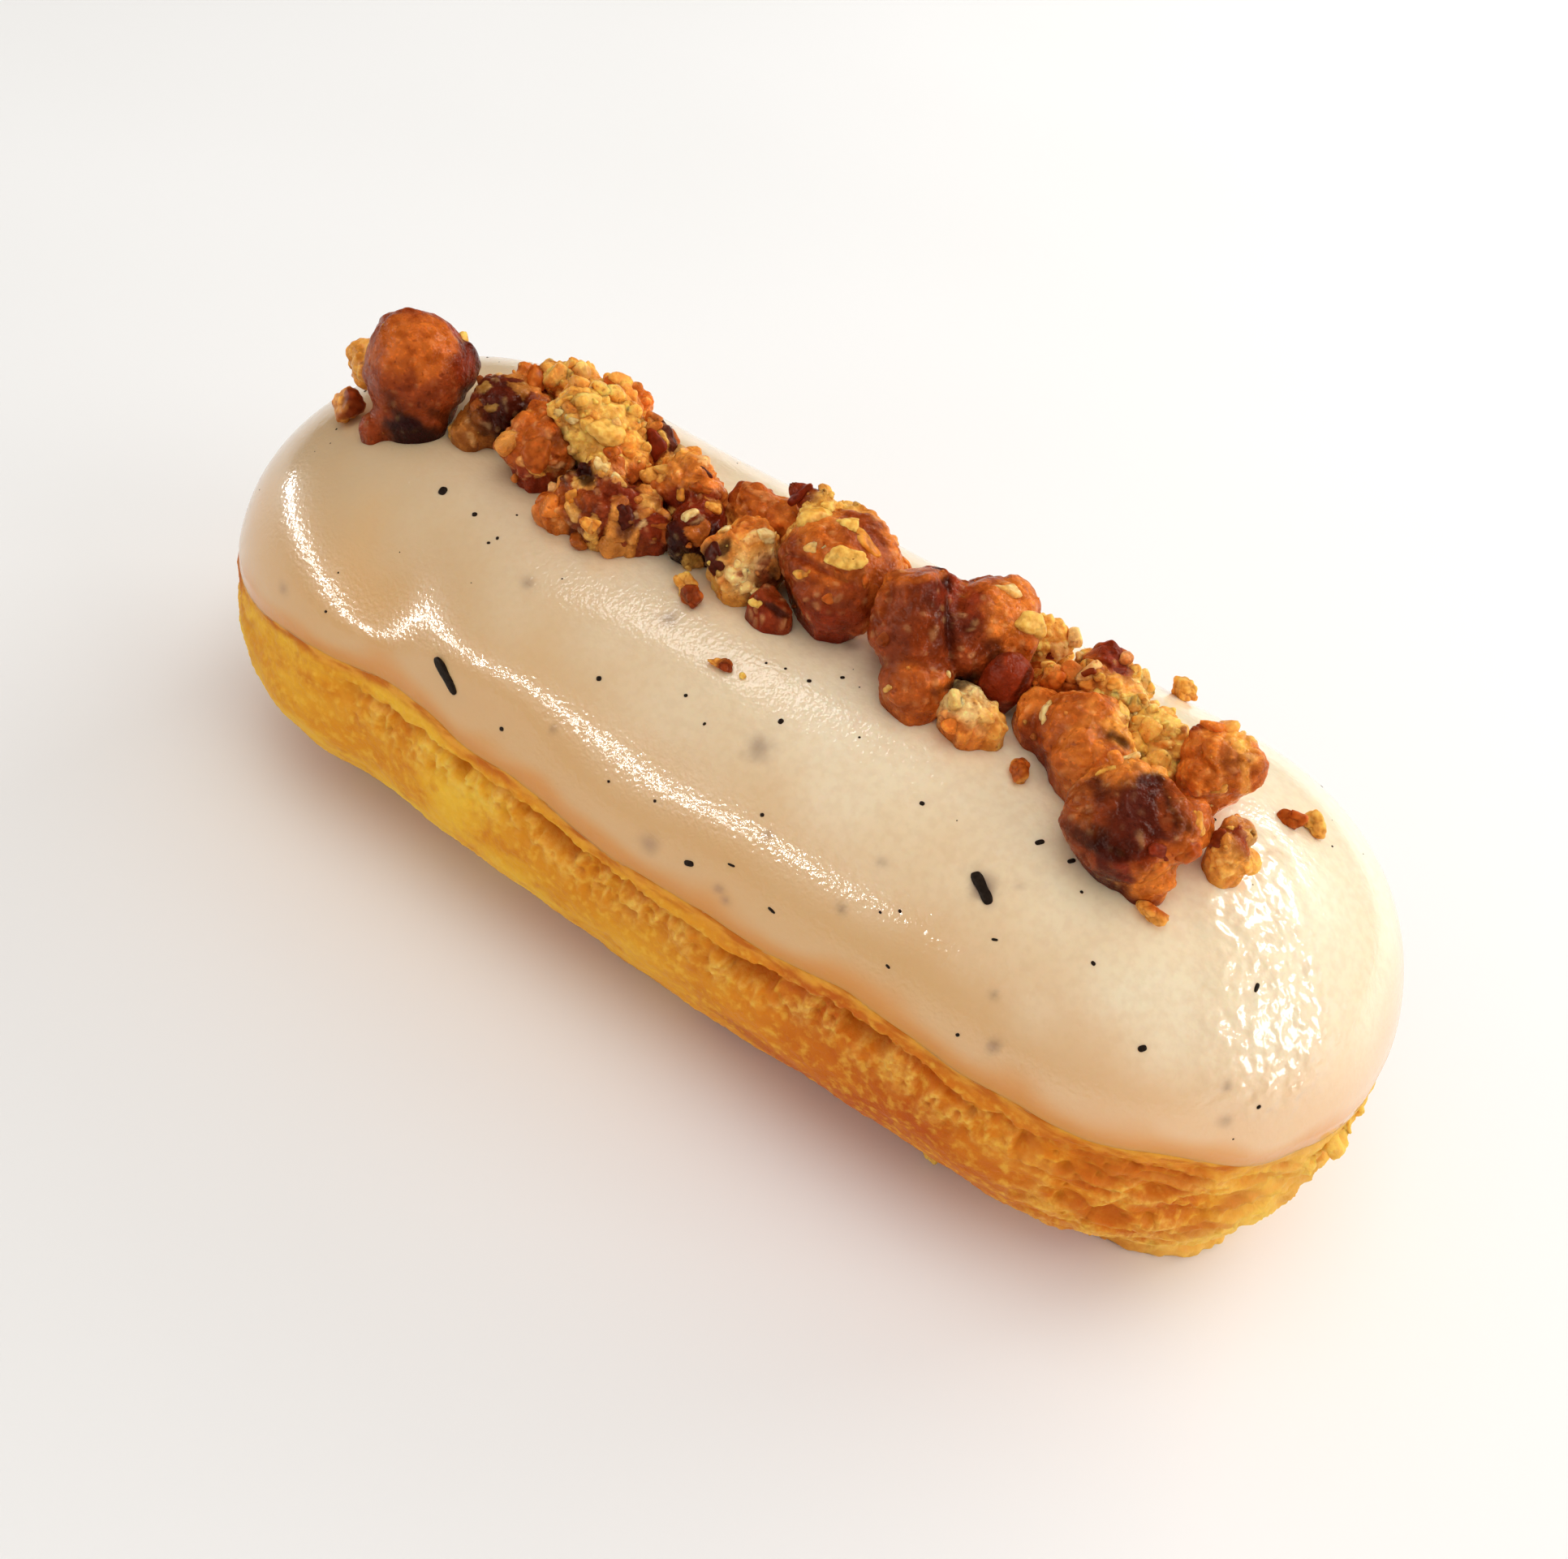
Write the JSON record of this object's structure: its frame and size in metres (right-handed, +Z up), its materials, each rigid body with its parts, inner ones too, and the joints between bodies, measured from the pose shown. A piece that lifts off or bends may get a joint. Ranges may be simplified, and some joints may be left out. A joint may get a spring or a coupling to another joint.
{
  "type": "mini vanilla eclair",
  "caption": "Small finger of choux pastry under a glossy vanilla glaze, topped with a row of candied nut pieces.",
  "frame": {"origin": "centre of the bounding box, on the flat base that rests on a plate", "axes": "+X along the eclair, +Z up through the glaze, -Y towards the side with the long tear under the glaze"},
  "size_m": [0.0777, 0.0318, 0.0308],
  "materials": {
    "choux": "baked choux skin, golden yellow to orange brown, torn and porous under the glaze",
    "glaze": "wet gloss, translucent cream with small vanilla specks",
    "caramel_brown": "dark caramelised nut, rough, with half gloss sugar on the high spots",
    "caramel_amber": "orange amber caramelised nut, half gloss",
    "nut_pale": "golden nut crumble, matt and grainy"
  },
  "bodies": {
    "root": {"choux_shell": "choux", "vanilla_glaze": "glaze", "nut_hazel": "caramel_amber", "nut_dark_crumble": "caramel_brown", "nut_back_crumble": "nut_pale", "nut_orange": "caramel_amber", "nut_golden": "nut_pale", "nut_low_crumble": "caramel_brown", "nut_column": "caramel_brown", "nut_brown_cap": "caramel_brown", "nut_pale": "nut_pale", "nut_brown": "caramel_brown", "nut_dark_chip": "caramel_brown", "nut_walnut": "caramel_brown", "nut_knob": "caramel_brown", "nut_white": "nut_pale", "nut_yellow_chip": "nut_pale", "nut_mixed_crumble": "nut_pale", "nut_pale_gold": "nut_pale", "nut_amber": "caramel_amber", "nut_dark_roast": "caramel_brown", "nut_end_amber": "caramel_amber", "nut_end_chip": "caramel_amber"}
  },
  "joints": []
}
